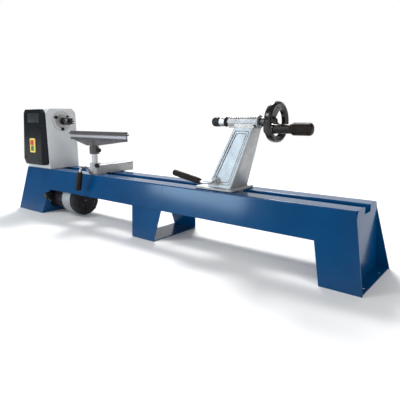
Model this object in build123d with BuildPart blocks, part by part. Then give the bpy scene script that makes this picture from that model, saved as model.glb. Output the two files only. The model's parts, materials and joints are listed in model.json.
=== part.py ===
"""Bench wood lathe: folded steel bed in two halves, belt headstock, banjo with tool rest, tailstock.

Frame: +X along the bed towards the tailstock, -Y towards the operator, +Z up.
The origin is the middle of the centre foot's sole, on the bench, under the spindle line.
"""
from build123d import *

import os
from math import atan2, cos, pi, radians, sin, sqrt

# ---------------------------------------------------------------- driving dimensions (mm)
CENTRE_HEIGHT = 175.0          # spindle axis above the bed
BED_TOP = 165.0                # bed surface above the bench
BED_HALF = 66.0                # half width of the bed's top
WALL_SLANT = 0.2               # outward lean of the walls per mm of depth
WALL_BOTTOM = 92.0             # lower edge of the walls between the legs
SHEET = 2.5                    # bed sheet thickness
BEND = 3.5                     # outer bend radius of the bed sheet
SLOT_HALF = 18.0               # half width of the slot along the bed
LIP_DEPTH = 25.0               # depth of the slot's turned-down lips
BED_LEFT = -681.0
BED_JOINT = 60.5               # where the two halves of the bed meet
BED_RIGHT = 601.5
LEG_SPLAY = 34.0               # how far each foot stands out beyond the bed
LEG_LEFT_INNER = (-510.0, -547.0)    # inner edge of the left leg: at the wall's edge, at the bench
LEG_RIGHT_INNER = (521.5, 544.0)
BENCH_HOLE_Y = 55.0
BENCH_HOLE_R = 4.5
BENCH_HOLE_X = (-702.5, 624.5)

CENTRE_FOOT_TOP = 60.5         # half length under the wall
CENTRE_FOOT_SOLE = 44.5        # half length on the bench
FOOT_SHEET = 3.0

HEAD_RIGHT = -527.5            # headstock face that carries the spindle nose
HEAD_HALF = 62.0
HEAD_TOP = 386.0
HEAD_CHAMFER = 15.0
HEAD_SHEET = 2.0
HEAD_GAP = 0.3                 # paint gap under the headstock
HEAD_BOLT_X = (-572.0, -546.0)
HEAD_BOLT_Y = 38.0

SPINDLE_Z = BED_TOP + CENTRE_HEIGHT
SPINDLE_R = 7.5
BEARING_R = 16.0
RUNNING = 0.05                 # radial clearance of every turning or sliding fit

BELT_X = -604.5                # middle of the groove that carries the belt
PULLEY_STEP = 13.0
SPINDLE_PITCH_R = (39.75, 34.2, 28.8, 22.75)
MOTOR_PITCH_R = (25.25, 30.8, 36.2, 42.25)

MOTOR_Y = -24.0
MOTOR_Z = 60.0
MOTOR_R = 55.0
MOTOR_RIGHT = -364.5
MOTOR_BODY = (-443.0, -390.0)  # ends of the ribbed middle part
MOTOR_PLATE_X = -530.0
MOTOR_HINGE = (50.0, 75.0)     # Y and Z of the rod that the motor plate swings on
LOCK_KNOB = (-519.0, 69.0)     # X and Z of the motor lock in the front wall

PANEL_LOW, PANEL_HIGH = 180.0, 384.0
PANEL_FRONT_LOW, PANEL_FRONT_HIGH = -84.0, -75.5      # Y of the leaning front face
PANEL_LEFT_LOW, PANEL_LEFT_HIGH = -672.5, -658.5
PANEL_RIGHT = -531.5
SWITCH_X, SWITCH_Z = -600.0, 251.5

BANJO_X = -284.5               # clamp bolt, banjo arm and tool post lie in this plane at rest
POST_Y = -38.0
POST_R = 9.5
BANJO_TOP = 196.0
BANJO_HALF = 24.0
BANJO_REAR = 115.0
BANJO_SHAFT_Z = 171.5
REST_TOP = 308.0
REST_LEFT, REST_RIGHT = -123.0, 169.0     # ends of the tool rest, from the post's axis

TAIL_LEFT, TAIL_RIGHT = 167.5, 288.5      # base of the tailstock
TAIL_HALF = 55.0
TAIL_BOLT_X = 228.0
TAIL_SHAFT_Z = 188.0
BARREL_LEFT, BARREL_RIGHT = 247.0, 335.5
BARREL_R = 14.0
QUILL_R = 8.0
QUILL_LEFT, QUILL_RIGHT = 240.0, 330.0
SCREW_R = 5.0
NOSE_LEFT = 191.5
WHEEL_R = 49.0
WHEEL_LEFT, WHEEL_RIGHT = 370.5, 389.5
CRANK_DY, CRANK_DZ = -33.0, -14.7         # crank pin from the wheel's axis at rest
GRIP_START, GRIP_END = 394.0, 487.0

TOUCH = 0.02                   # gap between faces that rest on each other


def wall_y(z):
    """Half width of the bed's outer wall face at height z."""
    return BED_HALF + WALL_SLANT * (BED_TOP - z)


def radial_plane(angle_deg, centre_y=0.0, centre_z=SPINDLE_Z):
    """Plane through an axis along X: local x is +X, local y points outwards at the angle."""
    across = (0, -sin(radians(angle_deg)), cos(radians(angle_deg)))
    return Plane(origin=(0, centre_y, centre_z), x_dir=(1, 0, 0), z_dir=across)


def leaning_plane(side, low, high):
    """Plane on a leaning face between two (y, z) points: local x is +X, local z points outwards."""
    rise, run = high[1] - low[1], abs(low[0]) - abs(high[0])
    slope = sqrt(rise ** 2 + run ** 2)
    return Plane(
        origin=(0, side * abs(low[0]), low[1]), x_dir=(1, 0, 0),
        z_dir=(0, side * rise / slope, run / slope),
    )


def turned(profile, centre_y=0.0, centre_z=SPINDLE_Z):
    """Solid turned about an axis along X from (x, radius) points."""
    plane = radial_plane(90, centre_y, centre_z)
    with BuildPart() as solid:
        with BuildSketch(plane):
            with BuildLine():
                Polyline(*profile, close=True)
            make_face()
        revolve(axis=Axis((0, centre_y, centre_z), (1, 0, 0)))
    return solid


# ---------------------------------------------------------------- bed
def make_bed_rail(name, side, outline, windows, bolt_holes, notch):
    """One folded sheet: slot lip, top flange and sloping wall with its half of the leg."""
    with BuildPart() as rail:
        with BuildSketch(Plane.YZ.offset(BED_LEFT - LEG_SPLAY)):
            with BuildLine():
                FilletPolyline(
                    (side * SLOT_HALF, BED_TOP - LIP_DEPTH),
                    (side * SLOT_HALF, BED_TOP),
                    (side * BED_HALF, BED_TOP),
                    (side * wall_y(0), 0),
                    radius=BEND,
                )
                offset(amount=SHEET, side=Side.RIGHT if side > 0 else Side.LEFT)
            make_face()
        extrude(amount=BED_RIGHT - BED_LEFT + 2 * LEG_SPLAY)
        with BuildSketch(Plane.XZ):
            with BuildLine():
                Polyline(*outline, close=True)
            make_face()
        extrude(amount=2 * BED_HALF, both=True, mode=Mode.INTERSECT)
        for x_low, x_high, y_high in windows:
            with BuildSketch(Plane.XY.offset(BED_TOP + 1)):
                with Locations(((x_low + x_high) / 2, side * y_high / 2)):
                    Rectangle(x_high - x_low, y_high)
            extrude(amount=-LIP_DEPTH - 2, mode=Mode.SUBTRACT)
        for hole in bolt_holes:
            with BuildSketch(Plane.XY.offset(BED_TOP + 1)):
                with Locations((hole, side * HEAD_BOLT_Y)):
                    Circle(4.1)
            extrude(amount=-SHEET - 2, mode=Mode.SUBTRACT)
        if notch:
            with BuildSketch(Plane.XZ):
                with Locations(notch):
                    Circle(14)
            extrude(amount=2 * BED_HALF, mode=Mode.SUBTRACT)
    rail.part.label = name
    export_step(rail.part, f"parts/{name}.step")


def make_bed_rails():
    seam = 0.2
    left = (
        (BED_LEFT, BED_TOP), (BED_JOINT - seam, BED_TOP), (BED_JOINT - seam, WALL_BOTTOM),
        (LEG_LEFT_INNER[0], WALL_BOTTOM), (LEG_LEFT_INNER[1], 0), (BED_LEFT - LEG_SPLAY, 0),
    )
    right = (
        (BED_JOINT + seam, BED_TOP), (BED_RIGHT, BED_TOP), (BED_RIGHT + LEG_SPLAY, 0),
        (LEG_RIGHT_INNER[1], 0), (LEG_RIGHT_INNER[0], WALL_BOTTOM), (BED_JOINT + seam, WALL_BOTTOM),
    )
    left_windows = [(-668, -590, 56), (BED_LEFT - 20, BED_LEFT, 21)]
    right_windows = [(BED_RIGHT, BED_RIGHT + 20, 21)]
    make_bed_rail("bed_rail_front_left", -1, left, left_windows, HEAD_BOLT_X, LOCK_KNOB)
    make_bed_rail("bed_rail_rear_left", 1, left, left_windows, HEAD_BOLT_X, None)
    make_bed_rail("bed_rail_front_right", -1, right, right_windows, [], None)
    make_bed_rail("bed_rail_rear_right", 1, right, right_windows, [], None)


def inner_y(z):
    """Half width free between the walls at height z."""
    return wall_y(z) - SHEET * sqrt(1 + WALL_SLANT ** 2) - TOUCH


def make_end_plate(name, x_face, outward, hole_x):
    """End sheet of the bed, folded outwards at the bench into a foot with two bench holes."""
    x_start = x_face + outward * 0.6
    foot_end = x_face + outward * (LEG_SPLAY - 2)
    notch_depth = 15
    shoulder = BED_TOP - 6
    with BuildPart() as plate:
        with BuildSketch(Plane.YZ.offset(x_start)):
            with BuildLine():
                Polyline(
                    (-inner_y(0), 0), (-inner_y(shoulder), shoulder), (-inner_y(BED_TOP) + 3, BED_TOP),
                    (-SLOT_HALF - 1, BED_TOP), (-SLOT_HALF - 1, BED_TOP - notch_depth),
                    (SLOT_HALF + 1, BED_TOP - notch_depth), (SLOT_HALF + 1, BED_TOP),
                    (inner_y(BED_TOP) - 3, BED_TOP), (inner_y(shoulder), shoulder), (inner_y(0), 0),
                    close=True,
                )
            make_face()
        extrude(amount=outward * SHEET)
        with BuildSketch():
            with BuildLine():
                Polyline(
                    (x_start, -inner_y(SHEET)), (foot_end, -inner_y(SHEET)),
                    (foot_end, inner_y(SHEET)), (x_start, inner_y(SHEET)), close=True,
                )
            make_face()
            with Locations((hole_x, -BENCH_HOLE_Y), (hole_x, BENCH_HOLE_Y)):
                Circle(BENCH_HOLE_R, mode=Mode.SUBTRACT)
        extrude(amount=SHEET)
    plate.part.label = name
    export_step(plate.part, f"parts/{name}.step")


def make_leg_inner_plate(name, edge, outward, skyline):
    """Sheet that closes a leg's inner side, as high as the skyline of (y, z) points allows."""
    (x_top, x_foot) = edge
    with BuildPart() as plate:
        with BuildSketch(Plane.XZ):
            with BuildLine():
                Polyline(
                    (x_foot, 0), (x_top, WALL_BOTTOM), (x_top + outward * SHEET, WALL_BOTTOM),
                    (x_foot + outward * SHEET, 0), close=True,
                )
            make_face()
        extrude(amount=2 * BED_HALF, both=True)
        with BuildSketch(Plane.YZ.offset(x_foot - 60)):
            with BuildLine():
                Polyline((-inner_y(0), 0), *skyline, (inner_y(0), 0), close=True)
            make_face()
        extrude(amount=120, mode=Mode.INTERSECT)
    plate.part.label = name
    export_step(plate.part, f"parts/{name}.step")


def make_centre_foot():
    """Channel under the joint: two sheets inside the walls and a sole, open along the bed."""
    tuck = 18
    top = WALL_BOTTOM + tuck
    with BuildPart() as foot:
        with BuildSketch(Plane.YZ.offset(-CENTRE_FOOT_TOP)):
            with BuildLine():
                FilletPolyline(
                    (-inner_y(top), top), (-inner_y(0), 0), (inner_y(0), 0), (inner_y(top), top),
                    radius=BEND,
                )
                offset(amount=FOOT_SHEET, side=Side.LEFT)
            make_face()
        extrude(amount=2 * CENTRE_FOOT_TOP)
        with BuildSketch(Plane.XZ):
            with BuildLine():
                Polyline(
                    (-CENTRE_FOOT_SOLE, 0), (-CENTRE_FOOT_TOP, WALL_BOTTOM), (-CENTRE_FOOT_TOP, top),
                    (BED_JOINT - SHEET - 1, top), (BED_JOINT - SHEET - 1, WALL_BOTTOM - 0.5),
                    (CENTRE_FOOT_TOP, WALL_BOTTOM - 0.5), (CENTRE_FOOT_SOLE, 0), close=True,
                )
            make_face()
        extrude(amount=2 * BED_HALF, both=True, mode=Mode.INTERSECT)
    foot.part.label = "centre_foot"
    export_step(foot.part, "parts/centre_foot.step")


JOINT_BOLTS = [(y, z) for y in (-60, 60) for z in (118, 144)]
HEAD_BOLTS = [(x, y) for x in HEAD_BOLT_X for y in (-HEAD_BOLT_Y, HEAD_BOLT_Y)]
PASSAGE_HALF = 46.0            # half width left free for the clamps inside the bed


def make_joint_plates():
    """Two end frames, one in each half of the bed, bolted face to face."""
    with BuildPart() as plates:
        for start in (BED_JOINT - SHEET - 0.01, BED_JOINT + 0.01):
            with BuildSketch(Plane.YZ.offset(start)):
                with BuildLine():
                    low, high = WALL_BOTTOM, BED_TOP - SHEET - 0.1
                    Polyline(
                        (-inner_y(low), low), (inner_y(low), low), (inner_y(high) - 3, high),
                        (-inner_y(high) + 3, high), close=True,
                    )
                make_face()
                with Locations((0, (low + 8 + BED_TOP) / 2)):
                    Rectangle(2 * PASSAGE_HALF, BED_TOP - low - 8, mode=Mode.SUBTRACT)
                with Locations(*JOINT_BOLTS):
                    Circle(4.1, mode=Mode.SUBTRACT)
            extrude(amount=SHEET)
    plates.part.label = "joint_plates"
    export_step(plates.part, "parts/joint_plates.step")


def make_bed_bolts():
    """M8 hexagon bolts: four across the joint with their nuts, four that hold the headstock."""
    with BuildPart() as bolts:
        for y, z in JOINT_BOLTS:
            with BuildSketch(Plane.YZ.offset(BED_JOINT - SHEET - 5.4)):
                with Locations((y, z)):
                    RegularPolygon(7, 6)
            extrude(amount=5.3)
            with BuildSketch(Plane.YZ.offset(BED_JOINT - SHEET - 0.1)):
                with Locations((y, z)):
                    Circle(4)
            extrude(amount=2 * SHEET + 14)
            with BuildSketch(Plane.YZ.offset(BED_JOINT + SHEET + 0.1)):
                with Locations((y, z)):
                    RegularPolygon(7, 6)
            extrude(amount=6.5)
        for x, y in HEAD_BOLTS:
            with BuildSketch(Plane.XY.offset(BED_TOP + 8 + HEAD_GAP)):
                with Locations((x, y)):
                    RegularPolygon(7, 6)
            extrude(amount=5.3)
            with BuildSketch(Plane.XY.offset(BED_TOP - 16)):
                with Locations((x, y)):
                    Circle(4)
            extrude(amount=24.5)
            with BuildSketch(Plane.XY.offset(BED_TOP - SHEET - 6.6)):
                with Locations((x, y)):
                    RegularPolygon(7, 6)
            extrude(amount=6.5)
    bolts.part.label = "bed_bolts"
    export_step(bolts.part, "parts/bed_bolts.step")


# ---------------------------------------------------------------- headstock
def head_outline(margin, low):
    """Chamfered outline of the headstock seen along X, drawn inwards by the margin."""
    half, top, cut = HEAD_HALF - margin, HEAD_TOP - margin, HEAD_CHAMFER
    return [(-half, low), (-half, top - cut), (-half + cut, top), (half - cut, top),
            (half, top - cut), (half, low)]


def make_headstock_shell():
    """Folded and painted sheet cover, open to the bed and to the belt door."""
    with BuildPart() as shell:
        with BuildSketch(Plane.YZ.offset(BED_LEFT)):
            with BuildLine():
                Polyline(*head_outline(0, BED_TOP + HEAD_GAP), close=True)
            make_face()
        extrude(amount=HEAD_RIGHT - BED_LEFT)
        fillet(shell.edges().filter_by(Axis.X).group_by(Axis.Z)[1:], 3)
        with BuildSketch(Plane.YZ.offset(BED_LEFT - 1)):
            with BuildLine():
                Polyline(*head_outline(HEAD_SHEET, BED_TOP - 1), close=True)
            make_face()
        extrude(amount=HEAD_RIGHT - BED_LEFT - HEAD_SHEET + 1, mode=Mode.SUBTRACT)
        with BuildSketch(Plane.YZ.offset(HEAD_RIGHT - 10)):
            with Locations((0, SPINDLE_Z)):
                Circle(23)
        extrude(amount=20, mode=Mode.SUBTRACT)
        with BuildSketch(Plane.XZ):
            with Locations((SWITCH_X, SWITCH_Z)):
                Rectangle(32, 54)
        extrude(amount=HEAD_HALF + 5, mode=Mode.SUBTRACT)
        with BuildSketch(Plane.XZ):
            with Locations((-640, 195)):
                Circle(8)
        extrude(amount=-HEAD_HALF - 5, mode=Mode.SUBTRACT)
    shell.part.label = "headstock_shell"
    export_step(shell.part, "parts/headstock_shell.step")


def make_headstock_frame():
    """Steel angle inside the cover: the upright carries the bearings, the foot is bolted down."""
    thick = 8.0
    right = HEAD_RIGHT - HEAD_SHEET - 0.1
    low = BED_TOP + HEAD_GAP
    with BuildPart() as frame:
        with BuildSketch(Plane.YZ.offset(right - thick)):
            with Locations((0, (low + 375) / 2)):
                Rectangle(104, 375 - low)
            with Locations((0, SPINDLE_Z)):
                Circle(22 + 0.1, mode=Mode.SUBTRACT)
        extrude(amount=thick)
        with BuildSketch(Plane.XY.offset(low)):
            with Locations(((right - 60 + right) / 2, 0)):
                Rectangle(60, 104)
            with Locations(*HEAD_BOLTS):
                Circle(4.1, mode=Mode.SUBTRACT)
        extrude(amount=8 - 0.1)
        for side in (-1, 1):
            with BuildSketch(Plane.XZ.offset(-side * 50)):
                with BuildLine():
                    Polyline(
                        (right - thick, low + 7.9), (right - thick, low + 70), (right - 52, low + 7.9),
                        close=True,
                    )
                make_face()
            extrude(amount=2, both=True)
    frame.part.label = "headstock_frame"
    export_step(frame.part, "parts/headstock_frame.step")


HOUSING_LUGS = (150, 270, 30)
HOUSING_PCD = 58.0


def make_bearing_housing():
    """Cast cartridge: flange with three lugs outside, sleeve with both bearings inside."""
    face = HEAD_RIGHT + 0.05
    with BuildPart() as housing:
        with BuildSketch(Plane.YZ.offset(face)):
            with Locations((0, SPINDLE_Z)):
                Circle(26)
                for angle in HOUSING_LUGS:
                    lug = (HOUSING_PCD / 2 * cos(radians(angle)), HOUSING_PCD / 2 * sin(radians(angle)))
                    with Locations(lug):
                        Circle(6.5)
        extrude(amount=4)
        with BuildSketch(Plane.YZ.offset(face)):
            with Locations((0, SPINDLE_Z)):
                Circle(21.9)
        extrude(amount=7)
        with BuildSketch(Plane.YZ.offset(face)):
            with Locations((0, SPINDLE_Z)):
                Circle(22)
        extrude(amount=-58)
        with BuildSketch(Plane.YZ.offset(face - 58)):
            with Locations((0, SPINDLE_Z)):
                Circle(BEARING_R)
        extrude(amount=58 + 3, mode=Mode.SUBTRACT)
        with BuildSketch(Plane.YZ.offset(face)):
            with Locations((0, SPINDLE_Z)):
                Circle(9.5)
                with PolarLocations(HOUSING_PCD / 2, 3, start_angle=30):
                    Circle(2.6)
        extrude(amount=8, mode=Mode.SUBTRACT)
    housing.part.label = "bearing_housing"
    export_step(housing.part, "parts/bearing_housing.step")


def make_housing_screws():
    """Three black cap screws on the housing's lugs."""
    face = HEAD_RIGHT + 4.1
    with BuildPart() as screws:
        with BuildSketch(Plane.YZ.offset(face)):
            with Locations((0, SPINDLE_Z)):
                with PolarLocations(HOUSING_PCD / 2, 3, start_angle=30):
                    Circle(4.3)
        extrude(amount=5)
        with BuildSketch(Plane.YZ.offset(face - 4)):
            with Locations((0, SPINDLE_Z)):
                with PolarLocations(HOUSING_PCD / 2, 3, start_angle=30):
                    Circle(2.5)
        extrude(amount=5)
        with BuildSketch(Plane.YZ.offset(face + 2.5)):
            with Locations((0, SPINDLE_Z)):
                with PolarLocations(HOUSING_PCD / 2, 3, start_angle=30):
                    RegularPolygon(2.3, 6)
        extrude(amount=5, mode=Mode.SUBTRACT)
    screws.part.label = "housing_screws"
    export_step(screws.part, "parts/housing_screws.step")


def make_spindle_bearings():
    """Two deep-groove ball bearings, drawn as closed rings."""
    with BuildPart() as bearings:
        for start in (HEAD_RIGHT - 11, HEAD_RIGHT - 56):
            with BuildSketch(Plane.YZ.offset(start)):
                with Locations((0, SPINDLE_Z)):
                    Circle(BEARING_R - TOUCH)
                    Circle(SPINDLE_R + RUNNING, mode=Mode.SUBTRACT)
            extrude(amount=9)
    bearings.part.label = "spindle_bearings"
    export_step(bearings.part, "parts/spindle_bearings.step")


def make_spindle():
    """Spindle with the collar and the M18 nose."""
    spindle = turned([
        (-662, 0), (-662, 6.5), (-661, SPINDLE_R), (-521, SPINDLE_R), (-521, 9), (-519, 9), (-519, 13.5),
        (-508, 13.5), (-508, 7.6), (-506.5, 7.6), (-505.5, 9), (-484.5, 9), (-483.5, 8), (-483.5, 0),
    ])
    spindle.part.label = "spindle"
    export_step(spindle.part, "parts/spindle.step")


def make_spur_centre():
    """Four-pronged drive centre screwed on the nose."""
    body_left, body_right, prong_end, tip = -497.0, -474.0, -465.5, -456.5
    with BuildPart() as centre:
        add(turned([
            (body_left, 9), (body_left, 12), (body_left + 2, 14), (body_right - 6, 14), (body_right, 11.5),
            (body_right, 3.5), (tip + 4, 3), (tip, 0), (-482.5, 0), (-482.5, 9),
        ]).part)
        for angle in (0, 90, 180, 270):
            with BuildSketch(radial_plane(angle + 45)):
                with BuildLine():
                    Polyline(
                        (body_right - 6, 5), (body_right - 6, 13.6), (body_right, 13.2), (prong_end, 12.2),
                        (body_right, 5), close=True,
                    )
                make_face()
            extrude(amount=1.8, both=True)
    centre.part.label = "spur_centre"
    export_step(centre.part, "parts/spur_centre.step")


def pulley_profile(radii, bore):
    """Half section of a stepped V pulley, largest X first at the belt's running groove."""
    flange, groove_depth, rim = 2.0, 8.0, 3.0
    start = BELT_X + PULLEY_STEP / 2
    points = [(start, bore)]
    for step, pitch in enumerate(radii):
        right = start - step * PULLEY_STEP
        left = right - PULLEY_STEP
        outer = pitch + rim
        points += [(right, outer), (right - flange, outer), (right - flange - 2.8, outer - groove_depth),
                   (left + flange + 2.8, outer - groove_depth), (left + flange, outer), (left, outer)]
    points.append((start - len(radii) * PULLEY_STEP, bore))
    return points


def make_spindle_pulley():
    pulley = turned(pulley_profile(SPINDLE_PITCH_R, SPINDLE_R + TOUCH))
    pulley.part.label = "spindle_pulley"
    export_step(pulley.part, "parts/spindle_pulley.step")


def make_drive_belt():
    """V belt on the slowest step: two arcs joined by their outer tangents."""
    top, bottom = SPINDLE_PITCH_R[0], MOTOR_PITCH_R[0]
    dy, dz = MOTOR_Y, MOTOR_Z - SPINDLE_Z
    span = sqrt(dy ** 2 + dz ** 2)
    heading = atan2(dz, dy)
    lean = atan2(sqrt(span ** 2 - (top - bottom) ** 2), top - bottom)

    def rim_point(centre, radius, angle):
        return (centre[0] + radius * cos(angle), centre[1] + radius * sin(angle))

    upper, lower = (0.0, SPINDLE_Z), (MOTOR_Y, MOTOR_Z)
    start = rim_point(upper, top, heading + pi)
    with BuildPart() as belt:
        with BuildLine(Plane.YZ.offset(BELT_X)) as path:
            upper_front = ThreePointArc(
                start, rim_point(upper, top, heading + (lean + pi) / 2), rim_point(upper, top, heading + lean),
            )
            front = Line(upper_front @ 1, rim_point(lower, bottom, heading + lean))
            under = ThreePointArc(
                front @ 1, rim_point(lower, bottom, heading), rim_point(lower, bottom, heading - lean),
            )
            rear = Line(under @ 1, rim_point(upper, top, heading - lean))
            ThreePointArc(rear @ 1, rim_point(upper, top, heading - (lean + pi) / 2), start)
        section = Plane(
            origin=(BELT_X, *start), x_dir=(1, 0, 0),
            z_dir=(0, -sin(heading + pi), cos(heading + pi)),
        )
        with BuildSketch(section):
            with BuildLine():
                Polyline((-4, 2.6), (4, 2.6), (1.8, -3.8), (-1.8, -3.8), close=True)
            make_face()
        sweep(path=path.line)
    belt.part.label = "drive_belt"
    export_step(belt.part, "parts/drive_belt.step")


def make_belt_door():
    """Painted sheet that closes the headstock's left end, with two hinge knuckles at the rear."""
    x_in = BED_LEFT - 0.5
    with BuildPart() as door:
        with BuildSketch(Plane.YZ.offset(x_in)):
            with BuildLine():
                Polyline(*head_outline(0, BED_TOP + 3), close=True)
            make_face()
        extrude(amount=-2)
        fillet(door.edges().filter_by(Axis.X), 3)
        with BuildSketch(Plane.YZ.offset(x_in - 5)):
            with Locations((-48, 275)):
                Circle(4.1)
        extrude(amount=10, mode=Mode.SUBTRACT)
        for z in (215, 335):
            with BuildSketch(Plane.XY.offset(z)):
                with Locations((x_in - 1.5, HEAD_HALF + 4)):
                    Circle(4)
                with Locations((x_in - 1, HEAD_HALF)):
                    Rectangle(2, 6)
                with Locations((x_in - 1.5, HEAD_HALF + 4)):
                    Circle(2 + RUNNING, mode=Mode.SUBTRACT)
            extrude(amount=14)
    door.part.label = "belt_door"
    export_step(door.part, "parts/belt_door.step")


def make_door_hinge():
    """Two fixed hinge halves on the headstock's rear face, each with its pin."""
    x_pin, y_pin = BED_LEFT - 2.0, HEAD_HALF + 4
    with BuildPart() as hinge:
        for z in (215, 335):
            with BuildSketch(Plane.XY.offset(z - 12.3)):
                with Locations((x_pin, y_pin)):
                    Circle(4)
                with Locations((x_pin + 13, y_pin - 2.9)):
                    Rectangle(26, 2)
            extrude(amount=12)
            with BuildSketch(Plane.XY.offset(z - 12)):
                with Locations((x_pin, y_pin)):
                    Circle(2)
            extrude(amount=30)
    hinge.part.label = "door_hinge"
    export_step(hinge.part, "parts/door_hinge.step")


def make_door_knob():
    """Quarter-turn knob of the belt door with its tongue behind the cover."""
    x_out = BED_LEFT - 2.5
    with BuildPart() as knob:
        with BuildSketch(Plane.YZ.offset(x_out - 0.4)):
            with Locations((-48, 275)):
                Circle(11)
        extrude(amount=-9)
        fillet(knob.edges().filter_by(GeomType.CIRCLE).sort_by(Axis.X)[0], 2)
        with BuildSketch(Plane.YZ.offset(x_out - 9)):
            with Locations((-48, 275)):
                Rectangle(5, 20)
        extrude(amount=-5)
        with BuildSketch(Plane.YZ.offset(x_out - 1)):
            with Locations((-48, 275)):
                Circle(4)
        extrude(amount=7)
        with BuildSketch(Plane.YZ.offset(x_out + 4.5)):
            with Locations((-51, 275)):
                Rectangle(15, 8)
        extrude(amount=2)
    knob.part.label = "door_knob"
    export_step(knob.part, "parts/door_knob.step")


# ---------------------------------------------------------------- switch panel
def panel_face():
    """Plane on the panel's leaning front face, its origin at the panel's lower edge."""
    return leaning_plane(-1, (PANEL_FRONT_LOW, PANEL_LOW), (PANEL_FRONT_HIGH, PANEL_HIGH))


def make_switch_panel():
    """Moulded cover on the headstock's front, bevelled towards the work, with the switch's cut-out."""
    back = HEAD_HALF + 0.1
    wall = 3.0
    with BuildPart() as panel:
        with BuildSketch(Plane.XZ.offset(back)):
            with BuildLine():
                Polyline(
                    (PANEL_LEFT_LOW, PANEL_LOW + 20), (PANEL_LEFT_LOW + 15, PANEL_LOW),
                    (PANEL_RIGHT - 6, PANEL_LOW), (PANEL_RIGHT, PANEL_LOW + 8),
                    (PANEL_RIGHT, PANEL_HIGH - 14), (PANEL_RIGHT - 13, PANEL_HIGH),
                    (PANEL_LEFT_HIGH + 10, PANEL_HIGH), (PANEL_LEFT_HIGH - 1, PANEL_HIGH - 13), close=True,
                )
            make_face()
        extrude(amount=30)
        with BuildSketch(panel_face()):
            with Locations((PANEL_RIGHT - 60, 100)):
                Rectangle(300, 300)
        extrude(amount=30, mode=Mode.SUBTRACT)
        with BuildSketch(Plane.XY.offset(PANEL_LOW - 1)):
            with BuildLine():
                Polyline(
                    (PANEL_RIGHT + 1, -back - 4), (PANEL_RIGHT - 16, PANEL_FRONT_LOW - 1),
                    (PANEL_RIGHT + 1, PANEL_FRONT_LOW - 1), close=True,
                )
            make_face()
        extrude(amount=PANEL_HIGH - PANEL_LOW + 2, mode=Mode.SUBTRACT)
        with BuildSketch(panel_face().offset(-wall)):
            with Locations(((PANEL_LEFT_HIGH + PANEL_RIGHT) / 2 - 4, (PANEL_HIGH - PANEL_LOW) / 2)):
                Rectangle(PANEL_RIGHT - PANEL_LEFT_HIGH - 38, PANEL_HIGH - PANEL_LOW - 46)
        extrude(amount=-40, mode=Mode.SUBTRACT)
        with BuildSketch(panel_face()):
            with Locations((SWITCH_X, SWITCH_Z - PANEL_LOW)):
                Rectangle(30, 50)
        extrude(amount=20, both=True, mode=Mode.SUBTRACT)
    panel.part.label = "switch_panel"
    export_step(panel.part, "parts/switch_panel.step")


def make_switch_frame():
    """Yellow frame of the no-volt switch with its body behind the panel."""
    with BuildPart() as frame:
        with BuildSketch(panel_face().offset(0.05)):
            with Locations((SWITCH_X, SWITCH_Z - PANEL_LOW)):
                RectangleRounded(35, 53, 5)
        extrude(amount=4)
        with BuildSketch(panel_face().offset(-24)):
            with Locations((SWITCH_X, SWITCH_Z - PANEL_LOW)):
                Rectangle(29.4, 49.4)
        extrude(amount=24.1)
        with BuildSketch(panel_face().offset(-14)):
            with Locations((SWITCH_X, SWITCH_Z - PANEL_LOW + 10.5), (SWITCH_X, SWITCH_Z - PANEL_LOW - 10.5)):
                Rectangle(18, 18)
        extrude(amount=30, mode=Mode.SUBTRACT)
    frame.part.label = "switch_frame"
    export_step(frame.part, "parts/switch_frame.step")


def make_switch_button(name, offset_z, proud):
    """Push button that slides in the switch frame."""
    with BuildPart() as button:
        with BuildSketch(panel_face().offset(-7)):
            with Locations((SWITCH_X, SWITCH_Z - PANEL_LOW + offset_z)):
                RectangleRounded(17.2, 17.2, 1)
        extrude(amount=11 + proud)
        fillet(button.faces().sort_by(Axis.Y)[0].edges(), 0.9)
    button.part.label = name
    export_step(button.part, f"parts/{name}.step")


def make_cable_gland():
    """Cable entry on the headstock's rear face: nut and tapered sleeve."""
    with BuildPart() as gland:
        with BuildSketch(Plane.XZ.offset(-HEAD_HALF - 0.05)):
            with Locations((-640, 195)):
                RegularPolygon(11, 6)
        extrude(amount=-5)
        with BuildSketch(Plane.XZ.offset(-HEAD_HALF + 6)):
            with Locations((-640, 195)):
                Circle(7.8)
        extrude(amount=-19)
        with BuildSketch(Plane.XZ.offset(-HEAD_HALF + 7)):
            with Locations((-640, 195)):
                Circle(3.8)
        extrude(amount=-30, mode=Mode.SUBTRACT)
    gland.part.label = "cable_gland"
    export_step(gland.part, "parts/cable_gland.step")


# ---------------------------------------------------------------- motor
def make_motor_hinge():
    """Bracket under the bed's rear flange and the rod that the motor plate swings on."""
    y, z = MOTOR_HINGE
    top = BED_TOP - SHEET - 0.1
    with BuildPart() as hinge:
        with BuildSketch(Plane.YZ.offset(-560)):
            with Locations((y + 3, (z - 9 + top) / 2)):
                Rectangle(14, top - z + 9)
        extrude(amount=5)
        with BuildSketch(Plane.YZ.offset(-555.01)):
            with Locations((y + 3, top - 1.5)):
                Rectangle(14, 3)
        extrude(amount=26)
        with BuildSketch(Plane.YZ.offset(-556)):
            with Locations((y, z)):
                Circle(5)
        extrude(amount=42)
    hinge.part.label = "motor_hinge"
    export_step(hinge.part, "parts/motor_hinge.step")


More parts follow.
